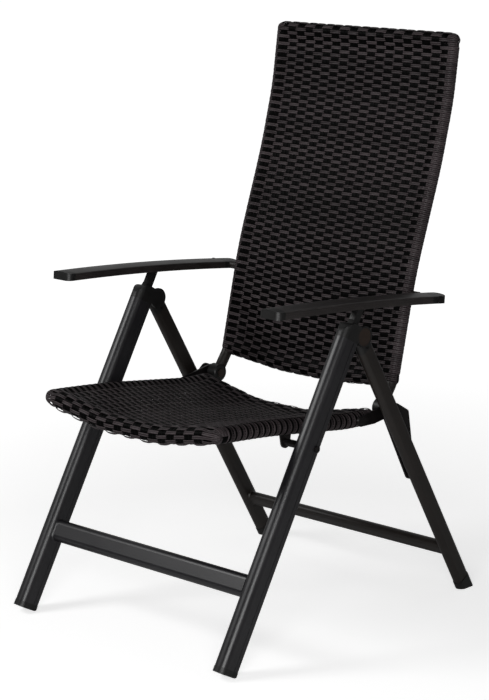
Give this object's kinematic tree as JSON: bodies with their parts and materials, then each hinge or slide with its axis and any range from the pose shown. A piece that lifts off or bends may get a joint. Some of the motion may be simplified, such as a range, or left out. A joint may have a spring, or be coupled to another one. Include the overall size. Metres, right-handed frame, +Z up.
{
  "type": "reclining garden armchair",
  "caption": "High-back garden armchair with woven seat and backrest on a folding aluminium frame; backrest reclines through notches under the flat armrests.",
  "frame": {"origin": "on the floor, in the middle of the standing chair", "axes": "+X across the chair (to the right seen from its front), -Y towards the front of the seat, +Z up"},
  "size_m": [0.5996, 0.7381, 1.09],
  "materials": {
    "frame_metal": "satin anthracite powder coat",
    "armrest_metal": "satin anthracite powder coat",
    "black_plastic": "moulded, fine grain",
    "brown_plastic": "moulded, smooth",
    "dark_steel": "dark coated steel",
    "woven_strands": "flat synthetic rattan strands, satin"
  },
  "bodies": {
    "front_frame": {"front_leg_left": "frame_metal", "front_leg_right": "frame_metal", "front_foot_left": "black_plastic", "front_foot_right": "black_plastic", "front_crossbar": "frame_metal", "leg_joint_left": "black_plastic", "leg_joint_right": "black_plastic", "leg_pivot_bolts": "dark_steel", "leg_pivot_caps": "brown_plastic", "armrest_pins": "dark_steel", "seat_pivot_bolts": "dark_steel"},
    "rear_frame": {"rear_leg_left": "frame_metal", "rear_leg_right": "frame_metal", "rear_foot_left": "black_plastic", "rear_foot_right": "black_plastic", "rear_crossbar": "frame_metal", "rear_joint_left": "black_plastic", "rear_joint_right": "black_plastic", "rear_leg_rivets": "dark_steel", "hinge_studs": "dark_steel"},
    "hinge_plates": {"hinge_plate_left": "dark_steel", "hinge_plate_right": "dark_steel"},
    "hub_bolt_set": {"hub_bolts": "dark_steel", "hub_washers": "dark_steel", "hub_spacers": "dark_steel", "hub_nuts": "dark_steel"},
    "backrest": {"back_frame": "frame_metal", "back_weave": "woven_strands", "back_hub_left": "black_plastic", "back_hub_right": "black_plastic", "armrest_bosses": "frame_metal"},
    "seat": {"seat_frame": "frame_metal", "seat_weave": "woven_strands", "seat_lug_left": "dark_steel", "seat_lug_right": "dark_steel", "seat_bracket_left": "black_plastic", "seat_bracket_right": "black_plastic"},
    "armrest_bolt_left": {"armrest_bolt_left": "dark_steel"},
    "armrest_left": {"armrest_left": "armrest_metal", "armrest_front_cap_left": "black_plastic", "armrest_rear_cap_left": "black_plastic", "armrest_rack_left": "black_plastic"},
    "armrest_bolt_right": {"armrest_bolt_right": "dark_steel"},
    "armrest_right": {"armrest_right": "armrest_metal", "armrest_front_cap_right": "black_plastic", "armrest_rear_cap_right": "black_plastic", "armrest_rack_right": "black_plastic"}
  },
  "joints": [
    {"name": "fold", "type": "hinge", "parent": "front_frame", "child": "rear_frame", "pos_m": [0, 0.0165, 0.568], "axis": [-1, 0, 0], "range_deg": [0, 60.15]},
    {"name": "seat_swing", "type": "hinge", "parent": "front_frame", "child": "seat", "pos_m": [0, -0.11656, 0.38172], "axis": [-1, 0, 0], "range_deg": [0, 113.07]},
    {"name": "hinge_plate_swing", "type": "hinge", "parent": "rear_frame", "child": "hinge_plates", "pos_m": [0, 0.1912, 0.26784], "axis": [-1, 0, 0], "range_deg": [0, 158.1]},
    {"name": "hub_turn", "type": "hinge", "parent": "hinge_plates", "child": "hub_bolt_set", "pos_m": [0, 0.1445, 0.4], "axis": [-1, 0, 0], "range_deg": [-198.89, 0]},
    {"name": "recline", "type": "hinge", "parent": "hub_bolt_set", "child": "backrest", "pos_m": [0, 0.1445, 0.4], "axis": [-1, 0, 0], "range_deg": [0, 40]},
    {"name": "armrest_fold_left", "type": "hinge", "parent": "backrest", "child": "armrest_bolt_left", "pos_m": [-0.272, 0.2185, 0.609], "axis": [-1, 0, 0], "range_deg": [0, 96.16]},
    {"name": "armrest_tilt_left", "type": "hinge", "parent": "armrest_bolt_left", "child": "armrest_left", "pos_m": [-0.272, 0.2185, 0.609], "axis": [-1, 0, 0], "range_deg": [-24.97, 0]},
    {"name": "armrest_fold_right", "type": "hinge", "parent": "backrest", "child": "armrest_bolt_right", "pos_m": [0.272, 0.2185, 0.609], "axis": [-1, 0, 0], "range_deg": [0, 96.16]},
    {"name": "armrest_tilt_right", "type": "hinge", "parent": "armrest_bolt_right", "child": "armrest_right", "pos_m": [0.272, 0.2185, 0.609], "axis": [-1, 0, 0], "range_deg": [-24.97, 0]}
  ],
  "couplings": [
    {"joint": "seat_swing", "follows": "fold", "ratio": 1.8797},
    {"joint": "hinge_plate_swing", "follows": "fold", "ratio": 2.6282},
    {"joint": "hub_turn", "follows": "fold", "ratio": -3.3065},
    {"joint": "armrest_fold_left", "follows": "fold", "ratio": 1.5985},
    {"joint": "armrest_tilt_left", "follows": "recline", "ratio": -0.624},
    {"joint": "armrest_fold_right", "follows": "fold", "ratio": 1.5985},
    {"joint": "armrest_tilt_right", "follows": "recline", "ratio": -0.624}
  ]
}
